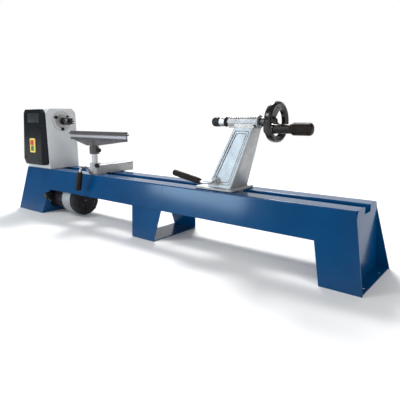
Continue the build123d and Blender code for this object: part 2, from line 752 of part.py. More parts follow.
def make_motor_plate():
    """Black steel plate that carries the motor, with its hinge eye and the lock's lug."""
    with BuildPart() as plate:
        with BuildSketch(Plane.YZ.offset(MOTOR_PLATE_X)):
            with BuildLine():
                FilletPolyline(
                    (-62, 112), (-14, 116), (30, 98), (60, 90), (64, 64), (50, 58), (22, 38), (10, 20),
                    (-48, 18), (-60, 30), (-72, 52), (-77, 60), (-77, 80), close=True, radius=2,
                )
            make_face()
            with Locations(MOTOR_HINGE):
                Circle(5 + RUNNING, mode=Mode.SUBTRACT)
            with Locations((MOTOR_Y, MOTOR_Z)):
                Circle(16, mode=Mode.SUBTRACT)
        extrude(amount=4)
        with BuildSketch(Plane.XZ.offset(67)):
            with Locations((MOTOR_PLATE_X + 9, LOCK_KNOB[1])):
                Rectangle(18, 16)
        extrude(amount=10)
        with BuildSketch(Plane.XZ.offset(60)):
            with Locations(LOCK_KNOB):
                Circle(3 + RUNNING)
        extrude(amount=20, mode=Mode.SUBTRACT)
    plate.part.label = "motor_plate"
    export_step(plate.part, "parts/motor_plate.step")


def make_motor_lock_knob():
    """Lobed knob in the front wall's notch, screwed into the motor plate."""
    with BuildPart() as knob:
        with BuildSketch(Plane.XZ.offset(85)):
            with Locations(LOCK_KNOB):
                Circle(10)
                with PolarLocations(9.5, 7):
                    Circle(2.5)
        extrude(amount=12)
        with BuildSketch(Plane.XZ.offset(69)):
            with Locations(LOCK_KNOB):
                Circle(3)
        extrude(amount=17)
    knob.part.label = "motor_lock_knob"
    export_step(knob.part, "parts/motor_lock_knob.step")


def make_motor_end_bell():
    """Tapered end bell between the motor plate and the motor body, with the front bearing's boss."""
    left, right = MOTOR_PLATE_X + 4.05, MOTOR_BODY[0] - 0.1
    bell = turned([
        (left, 7 + RUNNING), (left, 36), (left + 8, 41), (right - 12, 46), (right - 6, 52), (right, 52),
        (right, 48), (right - 8, 42), (left + 8, 36), (left + 8, 18), (left + 16, 18),
        (left + 16, 7 + RUNNING),
    ], MOTOR_Y, MOTOR_Z)
    bell.part.label = "motor_end_bell"
    export_step(bell.part, "parts/motor_end_bell.step")


def make_motor_body():
    """Cast aluminium motor body with cooling ribs along it and the rear bearing's shield."""
    left, right = MOTOR_BODY
    with BuildPart() as body:
        add(turned([
            (left, 40), (left, MOTOR_R - 3), (right, MOTOR_R - 3), (right, 6 + RUNNING),
            (right - 5, 6 + RUNNING), (right - 5, 40),
        ], MOTOR_Y, MOTOR_Z).part)
        for angle in range(0, 360, 15):
            with BuildSketch(radial_plane(angle, MOTOR_Y, MOTOR_Z)):
                with Locations(((left + right) / 2, MOTOR_R - 2.5)):
                    Rectangle(right - left - 2, 4)
            extrude(amount=1, both=True)
    body.part.label = "motor_body"
    export_step(body.part, "parts/motor_body.step")


def make_fan_cover():
    """Black cap over the fan with a grille of round holes in its end."""
    pitch, hole_r, grille_r = 8.0, 2.6, 43.0
    places = [(x * pitch, y * pitch) for x in range(-5, 6) for y in range(-5, 6)]
    left, right, radius = MOTOR_BODY[1] + 0.1, MOTOR_RIGHT, MOTOR_R
    with BuildPart() as cover:
        add(turned([
            (left, radius - 1.6), (left, radius), (right - 10, radius), (right - 3, radius - 4),
            (right, radius - 10), (right, 0), (right - 1.6, 0), (right - 1.6, radius - 11),
            (right - 4, radius - 5.5), (right - 10, radius - 1.6),
        ], MOTOR_Y, MOTOR_Z).part)
        with BuildSketch(Plane.YZ.offset(right - 5)):
            with Locations((MOTOR_Y, MOTOR_Z)):
                inside = [place for place in places if sqrt(place[0] ** 2 + place[1] ** 2) < grille_r]
                with Locations(*inside):
                    Circle(hole_r)
        extrude(amount=10, mode=Mode.SUBTRACT)
    cover.part.label = "fan_cover"
    export_step(cover.part, "parts/fan_cover.step")


def make_motor_shaft():
    """Motor shaft with its rotor core."""
    core_left, core_right = MOTOR_BODY[0] + 5, MOTOR_BODY[1] - 8
    shaft = turned([
        (-658, 0), (-658, 7), (-500, 7), (-500, 10), (core_left, 10), (core_left, 32), (core_right, 32),
        (core_right, 6), (-372, 6), (-372, 0),
    ], MOTOR_Y, MOTOR_Z)
    shaft.part.label = "motor_shaft"
    export_step(shaft.part, "parts/motor_shaft.step")


def make_motor_pulley():
    pulley = turned(pulley_profile(MOTOR_PITCH_R, 7 + TOUCH), MOTOR_Y, MOTOR_Z)
    pulley.part.label = "motor_pulley"
    export_step(pulley.part, "parts/motor_pulley.step")


def make_motor_fan():
    """Cooling fan: hub and eight blades."""
    left, right = MOTOR_BODY[1] + 3, MOTOR_BODY[1] + 16
    with BuildPart() as fan:
        add(turned([(left, 6.02), (left, 16), (right, 16), (right, 6.02)], MOTOR_Y, MOTOR_Z).part)
        for angle in range(0, 360, 45):
            with BuildSketch(radial_plane(angle, MOTOR_Y, MOTOR_Z)):
                with Locations(((left + right) / 2, 29)):
                    Rectangle(10, 30)
            extrude(amount=0.9, both=True)
    fan.part.label = "motor_fan"
    export_step(fan.part, "parts/motor_fan.step")


# ---------------------------------------------------------------- banjo and tool rest
def make_banjo_clamp_plate():
    """Plate that the banjo's bolt pulls up against the slot's lips."""
    top = BED_TOP - LIP_DEPTH - 0.3
    with BuildPart() as plate:
        with BuildSketch(Plane.XY.offset(top - 9)):
            with Locations((BANJO_X, 0)):
                RectangleRounded(44, 68, 4)
                Circle(5 + TOUCH, mode=Mode.SUBTRACT)
        extrude(amount=9)
    plate.part.label = "banjo_clamp_plate"
    export_step(plate.part, "parts/banjo_clamp_plate.step")


def make_banjo_clamp_bolt():
    """Clamp bolt that stands in the bed's slot."""
    head_top = BED_TOP - LIP_DEPTH - 9.3 - TOUCH
    with BuildPart() as bolt:
        with BuildSketch(Plane.XY.offset(head_top - 7)):
            with Locations((BANJO_X, 0)):
                RegularPolygon(9, 6)
        extrude(amount=7)
        with BuildSketch(Plane.XY.offset(head_top - 1)):
            with Locations((BANJO_X, 0)):
                Circle(5)
        extrude(amount=160 - head_top + 1)
    bolt.part.label = "banjo_clamp_bolt"
    export_step(bolt.part, "parts/banjo_clamp_bolt.step")


def make_banjo_eye_block():
    """Block on the bolt: it turns in the slot, and the lever's shaft passes through its eye."""
    with BuildPart() as block:
        with BuildSketch(Plane.XY.offset(143)):
            with Locations((BANJO_X, 0)):
                Circle(12)
        extrude(amount=BED_TOP + 0.6 - 143)
        with BuildSketch(Plane.XY.offset(BED_TOP + 0.5)):
            with Locations((BANJO_X, 0)):
                Rectangle(21, 21)
        extrude(amount=15)
        with BuildSketch(Plane.XY.offset(142)):
            with Locations((BANJO_X, 0)):
                Circle(5 + RUNNING)
        extrude(amount=19, mode=Mode.SUBTRACT)
        with BuildSketch(Plane.XZ):
            with Locations((BANJO_X, BANJO_SHAFT_Z)):
                Circle(4 + RUNNING)
        extrude(amount=30, both=True, mode=Mode.SUBTRACT)
    block.part.label = "banjo_eye_block"
    export_step(block.part, "parts/banjo_eye_block.step")


POST_LOCK_ANGLE = -25.0
POST_LOCK_Z = 195.0
REST_LOCK_Z = 246.0


def make_banjo_arm():
    """Aluminium casting: hollow arm across the bed with the tool post's boss at its front."""
    low = BED_TOP + 0.3
    lock_plane = Plane(
        origin=(BANJO_X, POST_Y, POST_LOCK_Z), x_dir=(0, 0, 1),
        z_dir=(cos(radians(POST_LOCK_ANGLE)), sin(radians(POST_LOCK_ANGLE)), 0),
    )
    with BuildPart() as arm:
        with BuildSketch(Plane.XY.offset(low)):
            with Locations((BANJO_X, (POST_Y + BANJO_REAR) / 2)):
                Rectangle(2 * BANJO_HALF, BANJO_REAR - POST_Y)
        extrude(amount=BANJO_TOP - low)
        fillet(arm.edges().filter_by(Axis.Z).group_by(Axis.Y)[-1], 8)
        with BuildSketch(Plane.XY.offset(low)):
            with Locations((BANJO_X, POST_Y)):
                Circle(17.5)
                with Locations((0, 10)):
                    Rectangle(2 * BANJO_HALF, 20)
        extrude(amount=BANJO_TOP - low)
        fillet(arm.edges().group_by(Axis.Z)[-1], 2.5)
        with BuildSketch(Plane.XY.offset(low)):
            with Locations((BANJO_X, POST_Y)):
                Circle(17.5)
        extrude(amount=203 - low)
        with BuildSketch(Plane.XY.offset(low - 1)):
            with Locations((BANJO_X, (POST_Y + 24 + BANJO_REAR - 8) / 2)):
                Rectangle(26, BANJO_REAR - 8 - POST_Y - 24)
        extrude(amount=26, mode=Mode.SUBTRACT)
        with BuildSketch(Plane.XY.offset(177.5)):
            with Locations((BANJO_X, POST_Y)):
                Circle(POST_R + RUNNING)
        extrude(amount=40, mode=Mode.SUBTRACT)
        with BuildSketch(Plane.XZ):
            with Locations((BANJO_X, BANJO_SHAFT_Z)):
                Circle(4 + RUNNING)
        extrude(amount=200, both=True, mode=Mode.SUBTRACT)
        with BuildSketch(lock_plane):
            Circle(3.1)
        extrude(amount=40, mode=Mode.SUBTRACT)
    arm.part.label = "banjo_arm"
    export_step(arm.part, "parts/banjo_arm.step")


BANJO_GRIP = ((-282.5, -101.0, 178.0), (-301.5, -101.0, 114.0))      # ends of its axis
TAIL_GRIP = ((195.0, -60.0, 186.6), (97.0, -60.0, 204.0))


def point_on(line, distance):
    """Point on the line through two points, at a distance from the first towards the second."""
    start, end = Vector(line[0]), Vector(line[1])
    return start + (end - start).normalized() * distance


def make_banjo_lever_rod():
    """Eccentric shaft through the arm, bent over the bed's edge and down into the grip."""
    with BuildPart() as rod:
        with BuildSketch(Plane.XZ.offset(-BANJO_REAR + 4)):
            with Locations((BANJO_X, BANJO_SHAFT_Z)):
                Circle(4)
        extrude(amount=BANJO_REAR - 4 + 57)
        with BuildLine() as bend:
            FilletPolyline(
                (BANJO_X, -57, BANJO_SHAFT_Z), (BANJO_X, -64, BANJO_SHAFT_Z), (BANJO_X + 2, -76, 190.5),
                point_on(BANJO_GRIP, -13), point_on(BANJO_GRIP, 12), radius=6,
            )
        with BuildSketch(Plane(origin=(BANJO_X, -57, BANJO_SHAFT_Z), z_dir=(0, -1, 0))):
            Circle(4.5)
        sweep(path=bend.line)
    rod.part.label = "banjo_lever_rod"
    export_step(rod.part, "parts/banjo_lever_rod.step")


def make_grip(name, line, radius, bore):
    """Handle sleeve along a line, rounded at both ends, with a blind bore for its rod."""
    direction = Vector(line[1]) - Vector(line[0])
    plane = Plane(origin=line[0], z_dir=direction)
    with BuildPart() as grip:
        with BuildSketch(plane):
            Circle(radius)
        extrude(amount=direction.length)
        fillet(grip.edges().filter_by(GeomType.CIRCLE), radius * 0.45)
        with BuildSketch(plane):
            Circle(bore)
        extrude(amount=14, mode=Mode.SUBTRACT)
    grip.part.label = name
    export_step(grip.part, f"parts/{name}.step")


def make_rest_post():
    """Steel post of the tool rest."""
    with BuildPart() as post:
        with BuildSketch(Plane.XY.offset(178)):
            with Locations((BANJO_X, POST_Y)):
                Circle(POST_R)
        extrude(amount=268 - 178)
        chamfer(post.edges().filter_by(GeomType.CIRCLE), 1)
    post.part.label = "rest_post"
    export_step(post.part, "parts/rest_post.step")


def make_tool_rest():
    """Cast rest: lip for the tool, flat face, lower edge, web and the neck that takes the post."""
    left, right = BANJO_X + REST_LEFT, BANJO_X + REST_RIGHT
    lip_over = 6
    with BuildPart() as rest:
        with BuildSketch(Plane.YZ.offset(left - lip_over)):
            with BuildLine():
                Polyline(
                    (POST_Y - 5, REST_TOP - 1), (POST_Y - 10, REST_TOP - 8), (POST_Y - 8, REST_TOP - 11),
                    (POST_Y + 2, REST_TOP - 11), (POST_Y + 3, REST_TOP - 2), (POST_Y + 1, REST_TOP),
                    (POST_Y - 3, REST_TOP), close=True,
                )
            make_face()
        extrude(amount=right - left + 2 * lip_over)
        with BuildSketch(Plane.XZ.offset(40)):
            for x_near, x_far in ((left - lip_over - 1, left), (right + lip_over + 1, right)):
                with BuildLine():
                    Polyline((x_near, REST_TOP + 1), (x_far, REST_TOP + 1), (x_far, REST_TOP - 5),
                             (x_near, REST_TOP - 7), close=True)
                make_face()
        extrude(amount=40, both=True, mode=Mode.SUBTRACT)
        with BuildSketch(Plane.YZ.offset(left)):
            with BuildLine():
                Polyline(
                    (POST_Y - 4.5, REST_TOP - 10), (POST_Y - 6, REST_TOP - 24), (POST_Y - 9, REST_TOP - 25),
                    (POST_Y - 9, REST_TOP - 28), (POST_Y + 1, REST_TOP - 30), (POST_Y + 1.5, REST_TOP - 10),
                    close=True,
                )
            make_face()
        extrude(amount=right - left)
        with BuildSketch(Plane.XZ.offset(-POST_Y - 1)):
            with BuildLine():
                Polyline(
                    (left + 3, REST_TOP - 27), (BANJO_X - 33, REST_TOP - 48), (BANJO_X + 16, REST_TOP - 48),
                    (right - 1, REST_TOP - 29), (right - 1, REST_TOP - 27), close=True,
                )
            make_face()
        extrude(amount=7)
        with BuildSketch(Plane.XY.offset(234)):
            with Locations((BANJO_X, POST_Y)):
                Circle(13)
        extrude(amount=40)
        fillet(rest.edges().filter_by(Axis.X).group_by(Axis.Z)[-1], 1.2)
        with BuildSketch(Plane.XY.offset(233)):
            with Locations((BANJO_X, POST_Y)):
                Circle(POST_R + RUNNING)
        extrude(amount=36, mode=Mode.SUBTRACT)
        with BuildSketch(Plane.YZ.offset(BANJO_X)):
            with Locations((POST_Y, REST_LOCK_Z)):
                Circle(3.1)
        extrude(amount=20, mode=Mode.SUBTRACT)
    rest.part.label = "tool_rest"
    export_step(rest.part, "parts/tool_rest.step")


def make_rest_collar():
    """Black sleeve pressed on the tool rest's neck."""
    with BuildPart() as collar:
        with BuildSketch(Plane.XY.offset(233)):
            with Locations((BANJO_X, POST_Y)):
                Circle(16)
                Circle(13 + TOUCH, mode=Mode.SUBTRACT)
        extrude(amount=25)
        with BuildSketch(Plane.YZ.offset(BANJO_X)):
            with Locations((POST_Y, REST_LOCK_Z)):
                Circle(3.1)
        extrude(amount=20, mode=Mode.SUBTRACT)
    collar.part.label = "rest_collar"
    export_step(collar.part, "parts/rest_collar.step")


def make_lock_screw(name, angle, z, start, knob_start, knob_r, knob_length):
    """Thumb screw towards the post: stud, then a knurled head."""
    heading = (cos(radians(angle)), sin(radians(angle)), 0)
    plane = Plane(origin=(BANJO_X, POST_Y, z), x_dir=(0, 0, 1), z_dir=heading)
    with BuildPart() as screw:
        with BuildSketch(plane.offset(start)):
            Circle(3)
        extrude(amount=knob_start - start + 1)
        with BuildSketch(plane.offset(knob_start)):
            Circle(knob_r - 0.8)
            with PolarLocations(knob_r - 1.2, 10):
                Circle(1.2)
        extrude(amount=knob_length)
    screw.part.label = name
    export_step(screw.part, f"parts/{name}.step")


# ---------------------------------------------------------------- tailstock
def make_tailstock_casting():
    """Aluminium casting: base with its key in the slot, leaning column, barrel for the quill."""
    low = BED_TOP + 0.3
    plate_top = 172.0
    knee, crown = 326.0, 336.0
    with BuildPart() as casting:
        with BuildSketch(Plane.XY.offset(low)):
            with Locations(((TAIL_LEFT + TAIL_RIGHT) / 2, 0)):
                RectangleRounded(TAIL_RIGHT - TAIL_LEFT, 2 * TAIL_HALF, 9)
        extrude(amount=plate_top - low)
        with BuildSketch(Plane.XY.offset(low + 0.1)):
            with Locations(((TAIL_LEFT + TAIL_RIGHT) / 2, 0)):
                Rectangle(98, 2 * SLOT_HALF - 1)
        extrude(amount=-11)
        with BuildSketch(Plane.XY.offset(plate_top - 2)):
            with Locations((237.5, 0)):
                RectangleRounded(76, 82, 4)
        with BuildSketch(Plane.XY.offset(knee)):
            with Locations((299.5, 0)):
                RectangleRounded(57, 41, 4)
        loft()
        with BuildSketch(Plane.XY.offset(knee - 0.5)):
            with Locations((299.5, 0)):
                Rectangle(55, 37)
        with BuildSketch(Plane.XY.offset(crown)):
            with Locations((298, 0)):
                Rectangle(62, 27)
        loft()
        with BuildSketch(Plane.YZ.offset(BARREL_LEFT)):
            with Locations((0, SPINDLE_Z)):
                Circle(BARREL_R)
                with PolarLocations(BARREL_R, 6, start_angle=0):
                    Rectangle(3, 5)
        extrude(amount=BARREL_RIGHT - BARREL_LEFT)
        chamfer(casting.faces().sort_by(Axis.X)[0].edges(), 1.5)
        for side in (-1, 1):
            face = leaning_plane(side, (41, plate_top - 2), (20.5, knee))
            height = sqrt((knee - plate_top + 2) ** 2 + (41 - 20.5) ** 2)
            for margin, depth in ((8, 1.2), (14, 2.4)):
                corners = []
                foot, head = margin + 3, height - margin
                for up, edge in ((foot, -1), (foot, 1), (head, 1), (head, -1)):
                    share = up / height
                    middle = 237.5 + share * 62
                    half = 38 - share * 9.5 - margin
                    corners.append((middle + edge * half, -side * up))
                with BuildSketch(face):
                    with BuildLine():
                        Polyline(*corners, close=True)
                    make_face()
                extrude(amount=-depth, mode=Mode.SUBTRACT)
        with BuildSketch(Plane.XZ):
            with Locations((TAIL_BOLT_X, TAIL_SHAFT_Z)):
                Circle(11)
        extrude(amount=42)
        with BuildSketch(Plane.YZ.offset(BARREL_LEFT - 1)):
            with Locations((0, SPINDLE_Z)):
                Circle(QUILL_R + RUNNING)
        extrude(amount=BARREL_RIGHT - BARREL_LEFT + 2, mode=Mode.SUBTRACT)
        with BuildSketch(Plane.XZ):
            with Locations((TAIL_BOLT_X, TAIL_SHAFT_Z)):
                Circle(7 + RUNNING)
        extrude(amount=60, both=True, mode=Mode.SUBTRACT)
        with BuildSketch(Plane.XY.offset(BED_TOP - 12)):
            with Locations((TAIL_BOLT_X, 0)):
                Rectangle(30, 18)
        extrude(amount=TAIL_SHAFT_Z + 18 - BED_TOP + 12, mode=Mode.SUBTRACT)
    casting.part.label = "tailstock_casting"
    export_step(casting.part, "parts/tailstock_casting.step")


def make_tailstock_clamp_plate():
    """Plate under the slot's lips with the clamp's nut."""
    top = BED_TOP - LIP_DEPTH - 0.3
    with BuildPart() as plate:
        with BuildSketch(Plane.XY.offset(top - 9)):
            with Locations((TAIL_BOLT_X, 0)):
                RectangleRounded(60, 70, 4)
                Circle(5 + TOUCH, mode=Mode.SUBTRACT)
        extrude(amount=9)
        with BuildSketch(Plane.XY.offset(top - 17.05)):
            with Locations((TAIL_BOLT_X, 0)):
                RegularPolygon(9, 6)
                Circle(5 + TOUCH, mode=Mode.SUBTRACT)
        extrude(amount=8)
    plate.part.label = "tailstock_clamp_plate"
    export_step(plate.part, "parts/tailstock_clamp_plate.step")


def make_tailstock_eye_bolt():
    """Eye bolt: the eye rides on the eccentric, the shank goes down through the slot."""
    with BuildPart() as bolt:
        with BuildSketch(Plane.XZ):
            with Locations((TAIL_BOLT_X, TAIL_SHAFT_Z)):
                Circle(13)
        extrude(amount=7, both=True)
        with BuildSketch(Plane.XY.offset(116)):
            with Locations((TAIL_BOLT_X, 0)):
                Circle(5)
        extrude(amount=TAIL_SHAFT_Z - 10 - 116)
        with BuildSketch(Plane.XZ):
            with Locations((TAIL_BOLT_X, TAIL_SHAFT_Z)):
                Circle(7 + RUNNING)
        extrude(amount=20, both=True, mode=Mode.SUBTRACT)
    bolt.part.label = "tailstock_eye_bolt"
    export_step(bolt.part, "parts/tailstock_eye_bolt.step")


def make_tailstock_lever_rod():
    """Eccentric shaft across the column and the bent rod to the grip."""
    with BuildPart() as rod:
        with BuildSketch(Plane.XZ.offset(-44)):
            with Locations((TAIL_BOLT_X, TAIL_SHAFT_Z)):
                Circle(7)
        extrude(amount=44 + 48)
        with BuildLine() as bend:
            FilletPolyline(
                (TAIL_BOLT_X, -44, TAIL_SHAFT_Z), (TAIL_BOLT_X, TAIL_GRIP[0][1], TAIL_SHAFT_Z),
                point_on(TAIL_GRIP, -10), point_on(TAIL_GRIP, 12), radius=6,
            )
        with BuildSketch(Plane(origin=(TAIL_BOLT_X, -44, TAIL_SHAFT_Z), z_dir=(0, -1, 0))):
            Circle(4.5)
        sweep(path=bend.line)
    rod.part.label = "tailstock_lever_rod"
    export_step(rod.part, "parts/tailstock_lever_rod.step")


def make_quill():
    """Quill: plain outside, shank socket in front, thread for the feed screw behind."""
    quill = turned([
        (QUILL_LEFT, 4.52), (QUILL_LEFT, QUILL_R - 1), (QUILL_LEFT + 1, QUILL_R), (QUILL_RIGHT, QUILL_R),
        (QUILL_RIGHT, SCREW_R + RUNNING), (QUILL_LEFT + 13, SCREW_R + RUNNING), (QUILL_LEFT + 13, 0),
        (QUILL_LEFT + 10, 0), (QUILL_LEFT + 10, 4.52),
    ])
    quill.part.label = "quill"
    export_step(quill.part, "parts/quill.step")


def make_live_centre_body():
    """Live centre: shank in the quill, steel bearing housing."""
    body = turned([
        (QUILL_LEFT + 9.9, 0), (QUILL_LEFT + 9.9, 4.5), (QUILL_LEFT - TOUCH, 4.5), (QUILL_LEFT - TOUCH, 7.5),
        (235, 12), (233, 12.7), (217.7, 12.7), (217.7, 4 + RUNNING), (232, 4 + RUNNING), (232, 0),
    ])
    body.part.label = "live_centre_body"
    export_step(body.part, "parts/live_centre_body.step")


def make_live_centre_nose():
    """Free-turning nose of the live centre, with a shallow cup and its point inside the rim."""
    nose = turned([
        (NOSE_LEFT, 5.5), (NOSE_LEFT, 7), (NOSE_LEFT + 1.2, 9.6), (NOSE_LEFT + 4.5, 12), (NOSE_LEFT + 8, 12.7),
        (217.3, 12.7), (217.3, 4), (231.5, 4), (231.5, 0), (NOSE_LEFT + 1, 0), (NOSE_LEFT + 4, 3),
    ])
    nose.part.label = "live_centre_nose"
    export_step(nose.part, "parts/live_centre_nose.step")


def make_feed_screw():
    """Feed screw with the thrust collar behind the barrel and the seat of the handwheel."""
    screw = turned([
        (256, 0), (256, 4), (257, SCREW_R), (BARREL_RIGHT + 0.2, SCREW_R), (BARREL_RIGHT + 0.2, 8.5),
        (BARREL_RIGHT + 7, 8.5), (BARREL_RIGHT + 7, SCREW_R), (376, SCREW_R), (377, 4), (377, 0),
    ])
    screw.part.label = "feed_screw"
    export_step(screw.part, "parts/feed_screw.step")


def make_handwheel():
    """Dished three-spoke handwheel; one spoke carries the crank pin's boss."""
    crank_angle = atan2(CRANK_DZ, CRANK_DY) * 180 / pi
    with BuildPart() as wheel:
        add(turned([
            (WHEEL_LEFT + 5, WHEEL_R - 15), (WHEEL_LEFT + 1, WHEEL_R - 9), (WHEEL_LEFT, WHEEL_R - 4),
            (WHEEL_LEFT + 2, WHEEL_R - 1), (WHEEL_LEFT + 6, WHEEL_R), (WHEEL_RIGHT - 6, WHEEL_R),
            (WHEEL_RIGHT - 2, WHEEL_R - 1.5), (WHEEL_RIGHT, WHEEL_R - 6), (WHEEL_RIGHT - 1.5, WHEEL_R - 11),
            (WHEEL_RIGHT - 5, WHEEL_R - 15),
        ]).part)
        add(turned([
            (BARREL_RIGHT + 7.1, SCREW_R), (BARREL_RIGHT + 7.1, 12), (372, 14), (378, 10), (378.5, SCREW_R),
        ]).part)
        for step in range(3):
            with BuildSketch(radial_plane(crank_angle + 120 * step)):
                with BuildLine():
                    Polyline(
                        (356, SCREW_R + 3), (370, SCREW_R + 3), (384, WHEEL_R - 12), (373, WHEEL_R - 12),
                        (358, 18), close=True,
                    )
                make_face()
            extrude(amount=9.5, both=True)
        with BuildSketch(Plane.YZ.offset(370)):
            with Locations((CRANK_DY, SPINDLE_Z + CRANK_DZ)):
                Circle(12)
        extrude(amount=GRIP_START - 370.5)
        with BuildSketch(Plane.YZ.offset(340)):
            with Locations((0, SPINDLE_Z)):
                Circle(SCREW_R + TOUCH)
        extrude(amount=60, mode=Mode.SUBTRACT)
        with BuildSketch(Plane.YZ.offset(376)):
            with Locations((CRANK_DY, SPINDLE_Z + CRANK_DZ)):
                Circle(4 + TOUCH)
        extrude(amount=60, mode=Mode.SUBTRACT)
    wheel.part.label = "handwheel"
    export_step(wheel.part, "parts/handwheel.step")


def make_crank_pin():
    """Steel pin that the crank grip turns on."""
    with BuildPart() as pin:
        with BuildSketch(Plane.YZ.offset(376.1)):
            with Locations((CRANK_DY, SPINDLE_Z + CRANK_DZ)):
                Circle(4)
        extrude(amount=GRIP_END - 12 - 376.1)
    pin.part.label = "crank_pin"
    export_step(pin.part, "parts/crank_pin.step")


def make_crank_grip():
    """Free-turning crank grip with a narrow neck."""
    grip = turned([
        (GRIP_START, 4 + RUNNING), (GRIP_START, 11), (440, 11), (443, 14), (GRIP_END - 6, 14.5),
        (GRIP_END - 2, 13), (GRIP_END, 9), (GRIP_END, 0), (GRIP_END - 11, 0), (GRIP_END - 11, 4 + RUNNING),
    ], CRANK_DY, SPINDLE_Z + CRANK_DZ)
    grip.part.label = "crank_grip"
    export_step(grip.part, "parts/crank_grip.step")


def main():
    os.makedirs("parts", exist_ok=True)
    make_bed_rails()
    make_end_plate("end_plate_left", BED_LEFT, -1, BENCH_HOLE_X[0])
    make_end_plate("end_plate_right", BED_RIGHT, 1, BENCH_HOLE_X[1])
    make_leg_inner_plate(
        "leg_inner_plate_left", LEG_LEFT_INNER, -1,
        [(-inner_y(58), 58), (-58, 22), (-34, 14), (44, 14), (inner_y(80), 80)],
    )
    make_leg_inner_plate(
        "leg_inner_plate_right", LEG_RIGHT_INNER, 1, [(-inner_y(70), 70), (inner_y(70), 70)],
    )
    make_centre_foot()
    make_joint_plates()
    make_bed_bolts()
    make_headstock_shell()
    make_headstock_frame()
    make_bearing_housing()
    make_housing_screws()
    make_spindle_bearings()
    make_spindle()
    make_spur_centre()
    make_spindle_pulley()
    make_drive_belt()
    make_belt_door()
    make_door_hinge()
    make_door_knob()
    make_switch_panel()
    make_switch_frame()
    make_switch_button("stop_button", 10.5, 3.5)
    make_switch_button("start_button", -10.5, 1.5)
    make_cable_gland()
    make_motor_hinge()
    make_motor_plate()
    make_motor_lock_knob()
    make_motor_end_bell()
    make_motor_body()
    make_fan_cover()
    make_motor_shaft()
    make_motor_pulley()
    make_motor_fan()
    make_banjo_clamp_plate()
    make_banjo_clamp_bolt()
    make_banjo_eye_block()
    make_banjo_arm()
    make_banjo_lever_rod()
    make_grip("banjo_lever_grip", BANJO_GRIP, 10, 4.55)
    make_rest_post()
    make_tool_rest()
    make_rest_collar()
    make_lock_screw("rest_lock_screw", 0, REST_LOCK_Z, POST_R + 0.2, 16.3, 7, 12)
    make_lock_screw("post_lock_screw", POST_LOCK_ANGLE, POST_LOCK_Z, POST_R + 0.2, 18.4, 7.5, 11)
    make_tailstock_casting()
    make_tailstock_clamp_plate()
    make_tailstock_eye_bolt()
    make_tailstock_lever_rod()
    make_grip("tailstock_lever_grip", TAIL_GRIP, 9, 4.55)
    make_quill()
    make_live_centre_body()
    make_live_centre_nose()
    make_feed_screw()
    make_handwheel()
    make_crank_pin()
    make_crank_grip()


main()
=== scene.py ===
"""Looks of the bench wood lathe: painted folded bed, cast parts, handles and a pale studio."""
import json
import math

import bpy
import bmesh
from mathutils import Matrix, Vector


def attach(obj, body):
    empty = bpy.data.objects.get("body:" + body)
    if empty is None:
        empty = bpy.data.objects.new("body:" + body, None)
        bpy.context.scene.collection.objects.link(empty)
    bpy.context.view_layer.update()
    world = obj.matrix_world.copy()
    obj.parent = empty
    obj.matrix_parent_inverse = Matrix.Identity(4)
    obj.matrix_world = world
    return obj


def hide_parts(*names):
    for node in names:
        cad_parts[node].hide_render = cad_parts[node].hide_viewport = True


bpy.ops.wm.read_factory_settings(use_empty=True)
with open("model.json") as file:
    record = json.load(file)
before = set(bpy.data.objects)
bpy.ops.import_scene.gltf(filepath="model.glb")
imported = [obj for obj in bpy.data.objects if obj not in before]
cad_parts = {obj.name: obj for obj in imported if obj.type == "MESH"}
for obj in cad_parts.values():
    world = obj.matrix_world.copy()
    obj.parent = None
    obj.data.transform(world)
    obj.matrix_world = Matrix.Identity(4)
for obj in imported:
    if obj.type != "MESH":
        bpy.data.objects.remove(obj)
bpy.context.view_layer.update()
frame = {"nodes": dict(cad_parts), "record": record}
nodes = frame["nodes"]

# Lengths are in mm, and MM turns them into Blender's metres. Stage, light and camera are in metres.
MM = 0.001
SPINDLE_Z = 340                      # spindle's axis above the bench
ALONG_BED = (1, 0, 0)                # from the headstock towards the tailstock

# Ends of the lever grips and the crank grip, as in the CAD
BANJO_GRIP = ((-282.5, -101, 178), (-301.5, -101, 114))
TAIL_GRIP = ((195, -60, 186.6), (97, -60, 204))
CRANK_GRIP_START = (394, -33, 325.3)

# Switch panel: its face leans, so y changes by PANEL_LEAN for each mm of height
PANEL_FOOT = (-84, 180)              # y and z of the face's lower edge
PANEL_LEAN = 8.5 / 204
LABEL_X = (-632, -553)
LABEL_Z = (336, 370)
PANEL_SCREWS = ((-655, 206), (-560, 196), (-646, 327), (-560, 327))

# Tailstock column between its foot and the barrel's saddle
COLUMN_FOOT_Z, COLUMN_RISE = 170, 156
COLUMN_FOOT_X, COLUMN_SHIFT = 237.5, 62          # middle of the face, and how far it leans along the bed
COLUMN_HALF_X, COLUMN_HALF_TAPER = 38, 9.5
COLUMN_HALF_Y, COLUMN_TAPER_Y = 41, 20.5
COLUMN_SLOPE = 157.3                             # length of the face up its slope

# Painted highlight along the tool rest where light falls on its inclined face, by height in metres, with
# a short fade at each edge
REST_HIGHLIGHT_BAND = ((0.0, 0.0), (0.2853, 0.0), (0.2857, 1.0), (0.2965, 1.0), (0.2969, 0.0), (1.0, 0.0))

# Camera fitted to the photograph: place in metres, angles in degrees
CAMERA_PLACE = (0.8577, -0.8802, 0.3560)
CAMERA_YAW, CAMERA_PITCH, CAMERA_ROLL = 39.10, 11.745, -0.44
LENS, SENSOR = 36.45, 36

# Stage in metres
FLOOR_HALF = 30
FLOOR_FADE = (0.9, 2.2)              # from the lit floor near the lathe to plain white
CARD_DISTANCE, CARD_HALF, CARD_Z = 12, (16, 9), 8.5
WALL_DISTANCE, WALL_BASE, WALL_TOP, WALL_SEGMENTS = 28, -0.01, 40, 96


